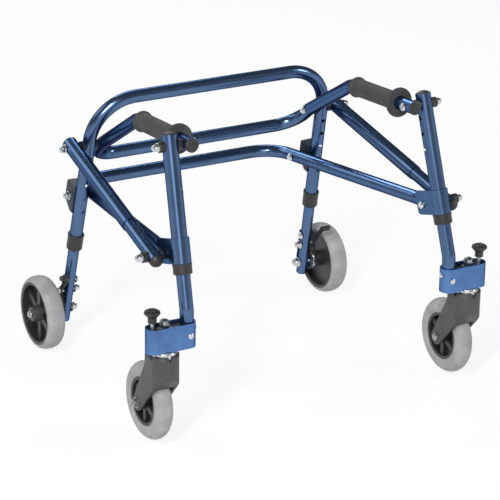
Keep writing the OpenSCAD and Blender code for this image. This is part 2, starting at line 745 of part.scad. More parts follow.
// Front lower legs and casters
module front_lower_leg() {
    top = on_front_leg(0, front_button_at - leg_top_margin);
    foot = [leg_corner[0], leg_corner[1], housing_bottom + 4];
    color(blue) difference() {
        bent_tube([top, leg_corner, foot], [leg_bend], front_leg_r, leg_wall);
        front_leg() rotate([0, 0, -90]) snap_holes(front_r, [front_button_at]);
    }
}
module oblong(inset) {
    r = housing_width / 2 - inset;
    x0 = leg_corner[0] - housing_inboard + inset + r;
    x1 = kingpin[0] + lock_offset + housing_outboard - inset - r;
    translate([x0, kingpin[1]]) circle(r);
    translate([x1, kingpin[1]]) circle(r);
    translate([x0, kingpin[1] - r]) square([x1 - x0, 2 * r]);
}
lock_x = kingpin[0] + lock_offset;
module caster_housing() {
    rim = 2.4;
    socket_r = front_leg_r + seat_gap;
    color(blue) difference() {
        translate([0, 0, housing_bottom]) linear_extrude(housing_height) oblong(0);
        translate([0, 0, housing_floor]) linear_extrude(housing_recess + cut) oblong(rim);
        translate([leg_corner[0], leg_corner[1], housing_bottom + 4]) cylinder(h = housing_height, r = socket_r);
        translate([kingpin[0], kingpin[1], housing_bottom - cut])
            cylinder(h = housing_height, r = kingpin_r + seat_gap);
        translate([lock_x, kingpin[1], housing_bottom - cut])
            cylinder(h = housing_height, r = lock_pin_r + pivot_clearance);
        for (a = rivet_places) rivet_at(a) translate([0, 0, -10]) cylinder(h = 20, r = 2 + seat_gap);
    }
}
// Rivets hold the leg in the housing: one on the front face, one on the rounded inner end
rivet_places = [0, 1];
module rivet_at(place) {
    front_z = housing_bottom + housing_height * 0.5;
    end_z = housing_bottom + housing_height * 0.72;
    if (place == 0) translate([leg_corner[0], kingpin[1] - housing_width / 2, front_z]) rotate([90, 0, 0]) children();
    else translate([leg_corner[0] - housing_inboard, kingpin[1], end_z]) rotate([0, -90, 0]) children();
}
module rivet() {
    shank = 2.2;
    rotate_extrude() polygon([
        [0, -shank], [2, -shank], [2, seat_gap], [4.8, seat_gap], [4.6, 0.9], [3, 1.9], [0, 2.3]
    ]);
}
module caster_fasteners() {
    nut_height = 14;
    nut_flats = 16;
    color(zinc) {
        translate([kingpin[0], kingpin[1], 0]) {
            translate([0, 0, crown_top - crown_height * 0.5])
                cylinder(h = housing_floor + nut_height * 0.8 - crown_top + crown_height * 0.5, r = kingpin_r);
            translate([0, 0, housing_floor + seat_gap]) rotate([0, -90, 0])
                cap_nut(kingpin_r, nut_flats, nut_height + 2);
            difference() {
                union() {
                    translate([0, 0, housing_bottom - 2]) cylinder(h = 2 - seat_gap, r = bearing_r - 2);
                    translate([0, 0, crown_top - crown_dish + turning_gap])
                        cylinder(h = crown_gap + crown_dish - 2 - turning_gap, r = bearing_r);
                }
                translate([0, 0, crown_top - crown_height])
                    cylinder(h = 2 * crown_height + crown_gap, r = kingpin_r + seat_gap);
                translate([lock_offset, 0, crown_top - crown_height])
                    cylinder(h = 2 * crown_height, r = lock_pin_r + 2 * turning_gap);
            }
        }
        for (a = rivet_places) rivet_at(a) rivet();
    }
}
crown_dish = 3;
bearing_r = crown_r - 3.6;
module lock_knob() {
    tip = crown_top + 1.5;
    knob_bottom = housing_top + lock_travel + 1;
    knob_r = lock_knob_diameter / 2;
    stem_r = 7;
    color(black) translate([lock_x, kingpin[1], 0]) rotate_extrude() polygon([
        [0, tip], [lock_pin_r - 0.8, tip], [lock_pin_r, tip + 0.8], [lock_pin_r, knob_bottom],
        [stem_r - 1, knob_bottom], [stem_r, knob_bottom + 1], [stem_r, knob_bottom + 9],
        [knob_r - 2.5, knob_bottom + 13], [knob_r, knob_bottom + 16], [knob_r - 0.8, knob_bottom + 19],
        [knob_r * 0.6, knob_bottom + 21.5], [0, knob_bottom + 22.5]
    ]);
}
// Side view of the fork: upright behind and in front of the kingpin, then cheeks that sweep back to the axle
module fork_outline() {
    boss = 13;
    reach = [caster_trail, wheel_r - crown_top];
    heel = boss * 0.71;
    polygon([
        [-crown_r, -4], [crown_r, -4], [crown_r, -crown_height], reach + [heel, heel], reach - [heel, heel],
        [-crown_r + 6, -crown_height - 21], [-crown_r + 1, -crown_height - 7], [-crown_r, -crown_height]
    ]);
    translate(reach) circle(boss);
}
// Plan of the fork: round in front like the crown, straight cheeks behind
module fork_plan() {
    circle(crown_r - 0.1);
    translate([-fork_half, 0]) square([2 * fork_half, caster_trail + 2 * crown_r]);
}
module fork() {
    color(dark_grey) translate([kingpin[0], kingpin[1], crown_top]) difference() {
        union() {
            translate([0, 0, -crown_height]) cylinder(h = crown_height, r = crown_r);
            intersection() {
                translate([-2 * fork_half, 0, 0]) rotate([90, 0, 90]) linear_extrude(4 * fork_half) fork_outline();
                translate([0, 0, -crown_top]) linear_extrude(crown_top) fork_plan();
            }
        }
        translate([0, caster_trail, wheel_r - crown_top])
            x_rod(-fork_inner_half, fork_inner_half, wheel_r + fork_side_gap);
        translate([0, caster_trail, wheel_r - crown_top]) x_rod(-2 * fork_half, 2 * fork_half, axle_r + seat_gap);
        translate([0, 0, -crown_dish]) cylinder(h = crown_dish + cut, r = bearing_r + 1.2);
        translate([0, 0, -crown_height - cut]) cylinder(h = crown_height + cut, r = kingpin_r + pivot_clearance);
        for (a = [0 : 90 : 270]) rotate([0, 0, a]) translate([lock_offset, 0, -lock_travel])
            cylinder(h = lock_travel + cut, r = lock_pin_r + 2 * turning_gap);
    }
}
module front_axle() {
    color(zinc) translate(caster_axle) {
        x_rod(-fork_half, fork_half + 6, axle_r);
        translate([-fork_half - seat_gap, 0, 0]) round_head();
        translate([fork_half + seat_gap, 0, 0]) cap_nut(axle_r, 13, 9);
    }
}
module wheel_at(x, p) { translate([x, p[1], p[2]]) rotate([0, 90, 0]) children(); }
module front_tyre() {
    seat = front_rim_diameter / 2 + seat_gap;
    half = front_tyre_width / 2;
    color(tyre_grey) wheel_at(caster_axle[0], caster_axle) rotate_extrude() difference() {
        union() {
            translate([wheel_r - half, 0]) circle(half);
            translate([seat, -half * 0.84]) square([wheel_r - half - seat, 1.68 * half]);
        }
        translate([0, -half - cut]) square([seat, 2 * half + 2 * cut]);
    }
}
// Spokes between a hub and a rim, wide at the hub
module spoke_ring(inner, outer, width, depth) {
    for (i = [0 : spokes - 1]) rotate([0, 0, i * 360 / spokes]) translate([0, 0, -depth / 2])
        linear_extrude(depth) polygon([
            [inner, -width * 0.7], [outer, -width / 2], [outer, width / 2], [inner, width * 0.7]
        ]);
}
module front_rim() {
    rim_r = front_rim_diameter / 2;
    half = front_tyre_width / 2;
    hub_half = fork_inner_half - turning_gap;
    color(dark_grey) wheel_at(caster_axle[0], caster_axle) difference() {
        union() {
            rotate_extrude() {
                translate([rim_r - 5, -half * 0.8]) square([5, half * 1.6]);
                translate([10, -2]) square([rim_r - 12, 4]);
                translate([5, -hub_half]) square([7, 2 * hub_half]);
            }
            spoke_ring(10, rim_r - 3, 7, half * 1.2);
        }
        cylinder(h = 4 * half, r = axle_r + pivot_clearance, center = true);
    }
}

// Rear lower legs and wheels
module rear_lower_leg() {
    top = rear_button_at - leg_top_margin;
    foot = rear_axle_down + rear_leg_below_axle;
    color(blue) difference() {
        rear_leg() difference() {
            translate([0, 0, -foot]) linear_extrude(foot - top) ring(rear_leg_r, leg_wall);
            snap_holes(frame_r, [rear_button_at]);
        }
        for (up = rear_fastener_places)
            at_yz(on_rear_leg(0, rear_axle_down - up)) x_rod(0, 2 * rear_half_width, fastener_r(up) + seat_gap);
    }
}
rear_fastener_places = [0, pawl_pivot_up, pawl_pivot_up + 19];
function fastener_r(up) = up == 0 ? axle_r : bolt_r;
leg_face_in = rear_axle[0] - rear_leg_r;
leg_face_out = rear_axle[0] + rear_leg_r;
hub_inner = leg_face_out + 16;
hub_outer = rear_wheel_x + rear_tyre_width / 2 + 6;
pawl_x = leg_face_out + 2.6;
// A crescent plate behind the leg stiffens the leg's end between the axle and the upper bolt
module leg_plate() {
    plate = 3;
    above = pawl_pivot_up + 25;
    below = 5;
    rear_leg() translate([0, 0, -rear_axle_down - below]) linear_extrude(above + below) intersection() {
        ring(rear_leg_r + plate, plate - seat_gap);
        translate([-2 * rear_leg_r, rear_leg_r * 0.88]) square(4 * rear_leg_r);
    }
}
module rear_axle_set() {
    color(dark_grey) leg_plate();
    color(zinc) {
        at_yz(rear_axle) {
            x_rod(leg_face_in - 6, hub_outer + turning_gap, axle_r);
            translate([leg_face_in - nut_land, 0, 0]) mirror([1, 0, 0]) cap_nut(axle_r, 13, 12);
            translate([hub_outer + turning_gap + seat_gap, 0, 0]) mirror([1, 0, 0]) round_head();
        }
        at_yz(on_rear_leg(0, rear_axle_down - pawl_pivot_up)) {
            x_rod(leg_face_in - 8, pawl_x + pawl_thickness + turning_gap, bolt_r);
            translate([leg_face_in - 2 - nut_land, 0, 0]) mirror([1, 0, 0]) cap_nut();
            translate([pawl_x + pawl_thickness + turning_gap + seat_gap, 0, 0]) mirror([1, 0, 0]) round_head();
        }
        at_yz(on_rear_leg(0, rear_axle_down - pawl_pivot_up - 19)) {
            translate([leg_face_in - 3 - nut_land, 0, 0]) round_head();
            x_rod(leg_face_in - 3 - nut_land, leg_face_in + 2 * rear_leg_r - 2, bolt_r);
        }
    }
}
nut_land = 0.4;
// The pawl turns on its bolt between the leg and the wheel: a hooked nose in front of the ratchet below,
// a lever with a knob above. Drawn engaged, then turned back by its travel to the free position.
pawl_pivot = on_rear_leg(0, rear_axle_down - pawl_pivot_up);
pawl_travel = 6;
nose_radius = ratchet_radius - ratchet_depth + 0.9;
nose_reach = sqrt(pow(pawl_pivot_up, 2) - pow(ratchet_radius - 1, 2));
nose_angle = asin((ratchet_radius - 1) / pawl_pivot_up);
module pawl_hook() {
    tip = ratchet_radius - 1 - nose_radius;
    edge = -3.2;
    outer = edge - 4;
    rotate(-nose_angle - 90 + rear_lean - pawl_travel) polygon([
        [0, outer + 1], [nose_reach + 1, outer], [nose_reach + 2.6, outer + 1.5], [nose_reach + 2, edge],
        [nose_reach + 0.7, tip], [nose_reach - 0.7, tip], [nose_reach - 2, edge], [10, edge], [6, 4], [0, 5]
    ]);
}
module pawl() {
    eye = 7;
    half = 3.6;
    lever_end = [-pawl_lever * sin(pawl_lever_lean), pawl_lever * cos(pawl_lever_lean)];
    side_step = [half * cos(pawl_lever_lean), half * sin(pawl_lever_lean)];
    color(black) translate([pawl_x, pawl_pivot[1], pawl_pivot[2]]) difference() {
        union() {
            rotate([90, 0, 90]) linear_extrude(pawl_thickness) {
                circle(eye);
                polygon([side_step, lever_end + side_step, lever_end - side_step, -side_step]);
                translate(lever_end) circle(half + 0.4);
                pawl_hook();
            }
            translate([0, lever_end[0], lever_end[1]]) rotate([0, 90, 0]) rotate_extrude() polygon([
                [0, 0], [4.7, 0], [4.7, pawl_knob_length - 2], [3.8, pawl_knob_length], [0, pawl_knob_length]
            ]);
        }
        x_rod(-cut, pawl_thickness + cut, bolt_r + pivot_clearance);
    }
}
module rear_button() {
    color(zinc) rear_leg() translate([0, 0, -rear_button_at]) snap_clip(rear_leg_r - leg_wall, frame_r);
}
module rear_tyre() {
    half = rear_tyre_width / 2;
    seat = wheel_r - rear_tyre_depth + seat_gap;
    shoulder = 7;
    color(tyre_grey) wheel_at(rear_wheel_x, rear_axle) rotate_extrude() intersection() {
        union() {
            translate([seat, -half]) square([wheel_r - shoulder - seat, 2 * half]);
            translate([seat, -half + shoulder]) square([wheel_r - seat, 2 * half - 2 * shoulder]);
            for (z = [-1, 1]) translate([wheel_r - shoulder, z * (half - shoulder)]) circle(shoulder);
        }
        translate([seat, -half - cut]) square([wheel_r, 2 * half + 2 * cut]);
    }
}
module rear_rim() {
    rim_r = wheel_r - rear_tyre_depth;
    half = rear_tyre_width / 2;
    hub_r = 14;
    x_in = hub_inner - rear_wheel_x;
    x_out = hub_outer - rear_wheel_x;
    web = 5;
    color(dark_grey) wheel_at(rear_wheel_x, rear_axle) difference() {
        union() {
            rotate_extrude() {
                translate([rim_r - 5, -half + 1]) square([5, 2 * half - 2]);
                translate([hub_r - 2, -web]) square([rim_r - hub_r, web]);
                polygon([
                    [5, x_in], [hub_r, x_in], [hub_r, x_out - 10], [hub_r - 1.5, x_out - 1.5], [hub_r - 3, x_out],
                    [5, x_out]
                ]);
            }
            translate([0, 0, 3]) spoke_ring(hub_r - 2, rim_r - 3, 9, 8);
        }
        cylinder(h = 6 * half, r = axle_r + pivot_clearance, center = true);
    }
}
// The ratchet drum sits on the wheel hub's inner end; a gap between its teeth faces the pawl's nose
module ratchet() {
    start = leg_face_out + 1.2;
    toothed = 6.5;
    root = ratchet_radius - ratchet_depth;
    step = 360 / ratchet_teeth;
    gap_at = 90 + rear_lean + 90 - nose_angle;
    phase = gap_at - step * 0.775;
    color(zinc) translate([0, rear_axle[1], rear_axle[2]]) difference() {
        union() {
            x_rod(start + toothed - cut, hub_inner - seat_gap, root + 1.5);
            translate([start, 0, 0]) rotate([90, 0, 90]) rotate(phase) linear_extrude(toothed) polygon([
                for (i = [0 : ratchet_teeth - 1]) each [
                    root * [cos(i * step), sin(i * step)],
                    ratchet_radius * [cos(i * step + step * 0.12), sin(i * step + step * 0.12)],
                    root * [cos(i * step + step * 0.55), sin(i * step + step * 0.55)]
                ]
            ]);
        }
        x_rod(start - cut, hub_inner + cut, axle_r + pivot_clearance);
    }
}

place() rear_frame();
place() rear_collars();
place() rear_pivot_mounts();
place() rear_pivot_bolts();
place() handle_tube();
place() grips();
place() handle_plugs();
place() lower_tube();
for (s = [-1, 1]) {
    name = s < 0 ? "left_" : "right_";
    place() side(s) strut_outer();
    place() side(s) strut_cap();
    place() side(s) strut_inner();
    place() side(s) strut_fittings();
    place() side(s) strut_bolt();
    place() side(s) strut_button();
    place() side(s) front_upright();
    place() side(s) front_strap();
    place() side(s) front_plastics();
    place() side(s) front_bolts();
    place() side(s) front_lower_leg();
    place() side(s) caster_housing();
    place() side(s) caster_fasteners();
    place() side(s) front_button();
    place() side(s) lock_knob();
    place() side(s) fork();
    place() side(s) front_axle();
    place() side(s) front_tyre();
    place() side(s) front_rim();
    place() side(s) rear_lower_leg();
    place() side(s) rear_axle_set();
    place() side(s) rear_button();
    place() side(s) pawl();
    place() side(s) rear_tyre();
    place() side(s) rear_rim();
    place() side(s) ratchet();
}
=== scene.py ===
"""Looks of the posterior walker: materials, rear tyres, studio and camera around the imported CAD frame."""

import json
import math

import bpy
from mathutils import Matrix, Vector


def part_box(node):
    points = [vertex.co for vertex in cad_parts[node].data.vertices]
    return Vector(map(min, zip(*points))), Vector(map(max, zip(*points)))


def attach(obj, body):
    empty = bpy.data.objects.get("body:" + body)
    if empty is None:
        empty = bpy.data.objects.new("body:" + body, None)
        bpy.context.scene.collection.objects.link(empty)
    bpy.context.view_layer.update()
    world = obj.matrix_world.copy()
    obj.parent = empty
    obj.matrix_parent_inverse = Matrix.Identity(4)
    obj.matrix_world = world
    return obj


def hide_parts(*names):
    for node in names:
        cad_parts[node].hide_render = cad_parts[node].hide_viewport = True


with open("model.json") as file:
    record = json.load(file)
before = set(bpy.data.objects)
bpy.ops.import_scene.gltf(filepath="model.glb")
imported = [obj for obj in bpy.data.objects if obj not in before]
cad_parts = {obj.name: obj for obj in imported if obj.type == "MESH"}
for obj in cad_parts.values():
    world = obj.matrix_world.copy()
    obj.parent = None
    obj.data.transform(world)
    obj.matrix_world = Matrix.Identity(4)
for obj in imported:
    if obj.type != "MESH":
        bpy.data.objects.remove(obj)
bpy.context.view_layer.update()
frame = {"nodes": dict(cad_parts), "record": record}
NODES = frame["nodes"]
SIDES = ("left", "right")

# Lengths are in metres. A limit between two finishes lies this far past a face of a solid.
FACE_MARGIN = 0.0005

# The casters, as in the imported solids
HOUSING_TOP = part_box("left_caster_housing")[1][2]
HOUSING_RECESS = 0.005
HOUSING_LIP = 0.0006
LOCK_TRAVEL = 0.007

# The wheels and the rear legs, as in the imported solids
WHEEL_RADIUS = 0.0635
HUB_RADIUS = 0.014
HUB_CAP_START = 0.004
REAR_LEG_X = 0.23616
REAR_LEAN = math.radians(13.2)
LEG_SPLAY = math.radians(2.4)
# The dark plate behind a rear leg: its start behind the leg's axis, and half of its width
PLATE_START = 0.0081
PLATE_HALF_WIDTH = 0.0097

# Linear colours
BLUE = (0.094, 0.163, 0.306)
BLUE_DEEP = (0.079, 0.138, 0.26)
BLUE_EDGE = (0.08, 0.11, 0.18)
HOUSING_BLUE = (0.11, 0.232, 0.5)
BLACK = (0.018, 0.018, 0.02)
NAVY_BLACK = (0.012, 0.018, 0.032)
GRIP = (0.041, 0.041, 0.043)
FORK_GREY = (0.054, 0.054, 0.057)
RIM_GREY = (0.022, 0.022, 0.024)
CAP_GREY = (0.05, 0.05, 0.053)
TYRE = (0.312, 0.312, 0.316)
ZINC = (0.72, 0.73, 0.75)
DULL_ZINC = (0.4, 0.4, 0.41)
# Darkest and lightest patch of a colour, as a share of it
HOUSING_DARKEST = 0.75
PLASTIC_PATCHES = (0.82, 1.15)
ZINC_DARKEST = 0.8

# Noises: scales per metre, detail, the part of the range that counts, and how far they change the roughness
TUBE_CLOUDS, TUBE_MARKS = 28.0, 90.0
PLASTIC_CLOUDS, PLASTIC_GRAIN, GRIP_GRAIN, TYRE_GRAIN = 40.0, 700.0, 480.0, 260.0
ZINC_CLOUDS, ZINC_MARKS = 120.0, 300.0
TYRE_SCUFFS = 55.0
CLOUD_DETAIL, MARK_DETAIL, GRAIN_DETAIL, SCUFF_DETAIL = 3.0, 2.0, 4.0, 5.0
NOISE_RANGE = (0.3, 0.7)
TUBE_SPREAD, PLASTIC_SPREAD, ZINC_SPREAD = 0.02, 0.08, 0.04
GRAIN_DEPTH = 0.0005

# Anodised tubes
ANODISED_METAL = 0.95
# Normals whose upward part is larger than this belong to a level face
LEVEL_FACE = 0.5
# Flutes of the lock's knob: number, and strength and depth of the bump
KNOB_FLUTES = 10
FLUTE_STRENGTH, FLUTE_DEPTH = 0.6, 0.0006
# Radius over which the shading runs round the fork's edges
FORK_ROUNDING = 0.008
ROUNDING_SAMPLES = 8
# Tyres: mould lines, depth of the worn tread, its scuffs, and the relief of lines and grain
MOULD_LINE_PITCH = 0.006
MOULD_LINE_WIDTH = 0.12
WORN_DEPTH = 0.004
SCUFF_STOPS = [(0.45, 0.0), (0.75, 0.35)]
SCUFF_SHADE = 0.7
LINE_SHARE, GRAIN_SHARE = 0.8, 0.3
RELIEF_STRENGTH, RELIEF_DEPTH = 0.25, 0.0004


def fill_ramp(elements, stops):
    """Set the stops of a colour ramp: (position, colour or grey level)."""
    while len(elements) < len(stops):
        elements.new(0.5)
    for element, (position, colour) in zip(elements, stops):
        element.position = position
        element.color = (*colour, 1.0) if isinstance(colour, tuple) else (colour, colour, colour, 1.0)


class Tree:
    """A material's node tree with short calls for the nodes used here."""

    def __init__(self, name):
        self.material = bpy.data.materials.new(name)
        self.material.use_nodes = True
        self.nodes = self.material.node_tree.nodes
        self.links = self.material.node_tree.links
        self.shader = self.nodes["Principled BSDF"]
        source = self.nodes.new("ShaderNodeTexCoord")
        self.coords = source.outputs["Object"]
        self.normal = source.outputs["Normal"]
        self.grain = None

    def join(self, source, target):
        self.links.new(source, target)

    def noise(self, scale, detail=CLOUD_DETAIL, roughness=0.55):
        node = self.nodes.new("ShaderNodeTexNoise")
        node.inputs["Scale"].default_value = scale
        node.inputs["Detail"].default_value = detail
        node.inputs["Roughness"].default_value = roughness
        self.join(self.coords, node.inputs["Vector"])
        return node.outputs["Fac"]

    def ramp(self, value, stops):
        node = self.nodes.new("ShaderNodeValToRGB")
        fill_ramp(node.color_ramp.elements, stops)
        self.join(value, node.inputs["Fac"])
        return node.outputs["Color"]

    def patches(self, noise, low, high):
        """A colour or level that goes from low to high with a noise."""
        return self.ramp(noise, list(zip(NOISE_RANGE, (low, high))))

    def uneven(self, noise, level, spread):
        """A level that a noise raises and lowers by the spread."""
        return self.patches(noise, level - spread, level + spread)

    def math(self, operation, *values):
        node = self.nodes.new("ShaderNodeMath")
        node.operation = operation
        for socket, value in zip(node.inputs, values):
            if isinstance(value, (int, float)):
                socket.default_value = value
            else:
                self.join(value, socket)
        return node.outputs["Value"]

    def mix(self, factor, a, b):
        """Colour that goes from a to b. The node's colour sockets are 6 and 7, and 2 on its output side."""
        node = self.nodes.new("ShaderNodeMix")
        node.data_type = "RGBA"
        for socket, value in ((node.inputs["Factor"], factor), (node.inputs[6], a), (node.inputs[7], b)):
            if isinstance(value, tuple):
                socket.default_value = (*value, 1.0)
            else:
                self.join(value, socket)
        return node.outputs[2]

    def separate(self, vector=None):
        node = self.nodes.new("ShaderNodeSeparateXYZ")
        self.join(self.coords if vector is None else vector, node.inputs["Vector"])
        return node.outputs

    def wheel_place(self, axle):
        """Distance from an axle that runs along X, and distance outwards from the wheel's middle plane."""
        place = self.separate()
        across = self.math("SUBTRACT", place["Y"], axle[1])
        up = self.math("SUBTRACT", place["Z"], axle[2])
        squares = self.math("ADD", self.math("MULTIPLY", across, across), self.math("MULTIPLY", up, up))
        outwards = self.math("SUBTRACT", self.math("ABSOLUTE", place["X"]), abs(axle[0]))
        return self.math("SQRT", squares), outwards

    def recolour(self, factor, colour):
        """Change the base colour to another one where the factor is 1."""
        base = self.shader.inputs["Base Color"]
        self.join(self.mix(factor, base.links[0].from_socket, colour), base)

    def metallic(self, factor, start, end):
        """Metallic goes from start, where the factor is 0, to end, where it is 1."""
        self.join(self.ramp(factor, [(0.0, start), (1.0, end)]), self.shader.inputs["Metallic"])

    def bump(self, height, strength, distance):
        """Add a bump on top of the bumps that are there already."""
        node = self.nodes.new("ShaderNodeBump")
        node.inputs["Strength"].default_value = strength
        node.inputs["Distance"].default_value = distance
        self.join(height, node.inputs["Height"])
        earlier = self.shader.inputs["Normal"].links
        if earlier:
            self.join(earlier[0].from_socket, node.inputs["Normal"])
        self.join(node.outputs["Normal"], self.shader.inputs["Normal"])

    def set(self, **values):
        for name, value in values.items():
            socket = self.shader.inputs[name.replace("_", " ")]
            if isinstance(value, bpy.types.NodeSocket):
                self.join(value, socket)
            else:
                socket.default_value = (*value, 1.0) if isinstance(value, tuple) else value


def shaded(colour, factor):
    return tuple(channel * factor for channel in colour)


def middle(node):
    low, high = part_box(node)
    return [(a + b) / 2 for a, b in zip(low, high)]


def anodised(name, colour, deep, gloss):
    """Clear metallic blue: soft clouding in the colour, faint handling marks in the gloss."""
    tree = Tree(name)
    tree.set(
        Base_Color=tree.patches(tree.noise(TUBE_CLOUDS), deep, colour),
        Roughness=tree.uneven(tree.noise(TUBE_MARKS, MARK_DETAIL), gloss, TUBE_SPREAD),
        Metallic=ANODISED_METAL,
        Specular_Tint=BLUE_EDGE,
        Coat_Weight=0.12,
        Coat_Roughness=0.2,
    )
    return tree


def moulded(name, colour, roughness, grain_scale=PLASTIC_GRAIN, grain=0.12):
    """Moulded plastic: fine spark-eroded grain, slightly uneven colour."""
    tree = Tree(name)
    tree.grain = tree.noise(grain_scale, GRAIN_DETAIL)
    dark, light = (shaded(colour, share) for share in PLASTIC_PATCHES)
    tree.set(
        Base_Color=tree.patches(tree.noise(PLASTIC_CLOUDS), dark, light),
        Roughness=tree.uneven(tree.grain, roughness, PLASTIC_SPREAD),
    )
    tree.bump(tree.grain, grain, GRAIN_DEPTH)
    return tree


def plated(name, colour, gloss=0.28):
    """Zinc plating with faint cloudy streaks."""
    tree = Tree(name)
    tree.set(
        Base_Color=tree.patches(tree.noise(ZINC_CLOUDS), shaded(colour, ZINC_DARKEST), colour),
        Roughness=tree.uneven(tree.noise(ZINC_MARKS, MARK_DETAIL), gloss, ZINC_SPREAD),
        Metallic=1.0,
    )
    return tree


def housing_material():
    """The caster housing: satin blue sheath, dark filler in the recess of its top."""
    tree = anodised("housing_blue", HOUSING_BLUE, shaded(HOUSING_BLUE, HOUSING_DARKEST), gloss=0.36)
    below_rim = tree.math("LESS_THAN", tree.separate()["Z"], HOUSING_TOP - HOUSING_LIP)
    upward = tree.math("GREATER_THAN", tree.separate(tree.normal)["Z"], LEVEL_FACE)
    filler = tree.math("MULTIPLY", below_rim, upward)
    tree.recolour(filler, BLACK)
    tree.metallic(filler, ANODISED_METAL, 0.0)
    return tree.material


def caster_fasteners_material():
    """Bright rivets in the housing's sides, a dull nut on the kingpin above the housing's recess."""
    tree = plated("caster_fasteners", ZINC)
    nut = tree.math("GREATER_THAN", tree.separate()["Z"], HOUSING_TOP - HOUSING_RECESS)
    tree.recolour(nut, DULL_ZINC)
    return tree.material


def lock_material(axis):
    """The swivel lock: black fluted knob above, plated pin below it."""
    tree = moulded("lock_knob_black", BLACK, roughness=0.42)
    place = tree.separate()
    pin = tree.math("LESS_THAN", place["Z"], HOUSING_TOP + LOCK_TRAVEL + FACE_MARGIN)
    knob = tree.math("SUBTRACT", 1.0, pin)
    aside = tree.math("SUBTRACT", tree.math("ABSOLUTE", place["X"]), abs(axis[0]))
    angle = tree.math("ARCTAN2", tree.math("SUBTRACT", place["Y"], axis[1]), aside)
    flutes = tree.math("SINE", tree.math("MULTIPLY", angle, KNOB_FLUTES))
    tree.bump(tree.math("MULTIPLY", flutes, knob), FLUTE_STRENGTH, FLUTE_DEPTH)
    tree.recolour(pin, ZINC)
    tree.metallic(pin, 0.0, 1.0)
    return tree.material


def fork_material():
    """Moulded fork: its shading runs softly round the edges, as on a casting with large radii."""
    tree = moulded("fork_grey", FORK_GREY, roughness=0.5)
    rounding = tree.nodes.new("ShaderNodeBevel")
    rounding.samples = ROUNDING_SAMPLES
    rounding.inputs["Radius"].default_value = FORK_ROUNDING
    bump = tree.shader.inputs["Normal"].links[0].from_node
    tree.join(rounding.outputs["Normal"], bump.inputs["Normal"])
    return tree.material


def bracket_material():
    """Satin navy-black brackets behind the rear uprights."""
    tree = moulded("bracket_navy", NAVY_BLACK, roughness=0.4, grain=0.05)
    tree.set(Specular_IOR_Level=0.25)
    return tree.material


def tyre_material(name, axle):
    """Solid grey tyre: fine mould lines around the tread, darker scuffs where it rolls."""
    tree = moulded(name, TYRE, roughness=0.55, grain_scale=TYRE_GRAIN, grain=0.08)
    distance, outwards = tree.wheel_place(axle)
    waves = tree.math("SINE", tree.math("MULTIPLY", outwards, math.tau / MOULD_LINE_PITCH))
    waves = tree.math("MULTIPLY_ADD", waves, 0.5, 0.5)
    lines = tree.ramp(waves, [(0.0, 0.0), (MOULD_LINE_WIDTH, 1.0)])
    tread = tree.ramp(tree.math("SUBTRACT", WHEEL_RADIUS, distance), [(0.0, 1.0), (WORN_DEPTH, 0.0)])
    scuffs = tree.ramp(tree.noise(TYRE_SCUFFS, SCUFF_DETAIL), SCUFF_STOPS)
    tree.recolour(tree.math("MULTIPLY", tread, scuffs), shaded(TYRE, SCUFF_SHADE))
    grain = tree.math("MULTIPLY", tree.grain, GRAIN_SHARE)
    relief = tree.math("ADD", tree.math("MULTIPLY", lines, LINE_SHARE), grain)
    tree.bump(relief, RELIEF_STRENGTH, RELIEF_DEPTH)
    return tree.material


def rear_rim_material(axle):
    """Dark dished rim with a lighter cap on its hub."""
    tree = moulded("rear_rim_dark", RIM_GREY, roughness=0.42)
    distance, outwards = tree.wheel_place(axle)
    cap = tree.math("LESS_THAN", distance, HUB_RADIUS + FACE_MARGIN)
    outer = tree.math("GREATER_THAN", outwards, HUB_CAP_START)
    tree.recolour(tree.math("MULTIPLY", cap, outer), CAP_GREY)
    return tree.material


def leg_fittings_material(axle):
    """Plated bolts of a rear leg, with a dull outer nut and the dark crescent plate behind the leg."""
    tree = plated("leg_fittings", ZINC)
    place = tree.separate()
    behind = tree.math("SUBTRACT", place["Y"], axle[1])
    above = tree.math("SUBTRACT", place["Z"], axle[2])
    side = tree.math("ABSOLUTE", place["X"])
    lean = tree.math("MULTIPLY", above, math.sin(REAR_LEAN))
    back = tree.math("MULTIPLY_ADD", behind, math.cos(REAR_LEAN), lean)
    aside = tree.math("SUBTRACT", side, REAR_LEG_X)
    aside = tree.math("ABSOLUTE", tree.math("MULTIPLY_ADD", above, math.sin(LEG_SPLAY), aside))
    past_leg = tree.math("GREATER_THAN", back, PLATE_START)
    plate = tree.math("MULTIPLY", past_leg, tree.math("LESS_THAN", aside, PLATE_HALF_WIDTH))
    tree.recolour(plate, BLACK)
    tree.recolour(tree.math("GREATER_THAN", side, abs(axle[0])), DULL_ZINC)
    tree.metallic(plate, 1.0, 0.0)
    return tree.material


FRONT_AXLE = middle("right_front_tyre")
REAR_AXLE = middle("right_rear_tyre")
# By the record's material slots
MATERIALS = {
    "blue_tube": anodised("tube_blue", BLUE, BLUE_DEEP, gloss=0.21).material,
    "blue_housing": housing_material(),
    "black_plastic": moulded("plastic_black", BLACK, roughness=0.45).material,
    "grip_rubber": moulded("grip_rubber", GRIP, roughness=0.68, grain_scale=GRIP_GRAIN, grain=0.3).material,
    "grey_plastic": fork_material(),
    "grey_tyre": tyre_material("tyre_grey", FRONT_AXLE),
    "zinc": plated("zinc_plate", ZINC).material,
}
# By piece, on both sides
OWN_MATERIALS = {
    "lock_knob": lock_material(middle("right_lock_knob")),
    "caster_fasteners": caster_fasteners_material(),
    "front_axle": plated("front_axle_zinc", DULL_ZINC, gloss=0.4).material,
    "front_rim": moulded("rim_dark", RIM_GREY, roughness=0.42).material,
    "rear_rim": rear_rim_material(REAR_AXLE),
    "rear_axle": leg_fittings_material(REAR_AXLE),
}


def paint(node, material):
    slots = NODES[node].data.materials
    slots.clear()
    slots.append(material)


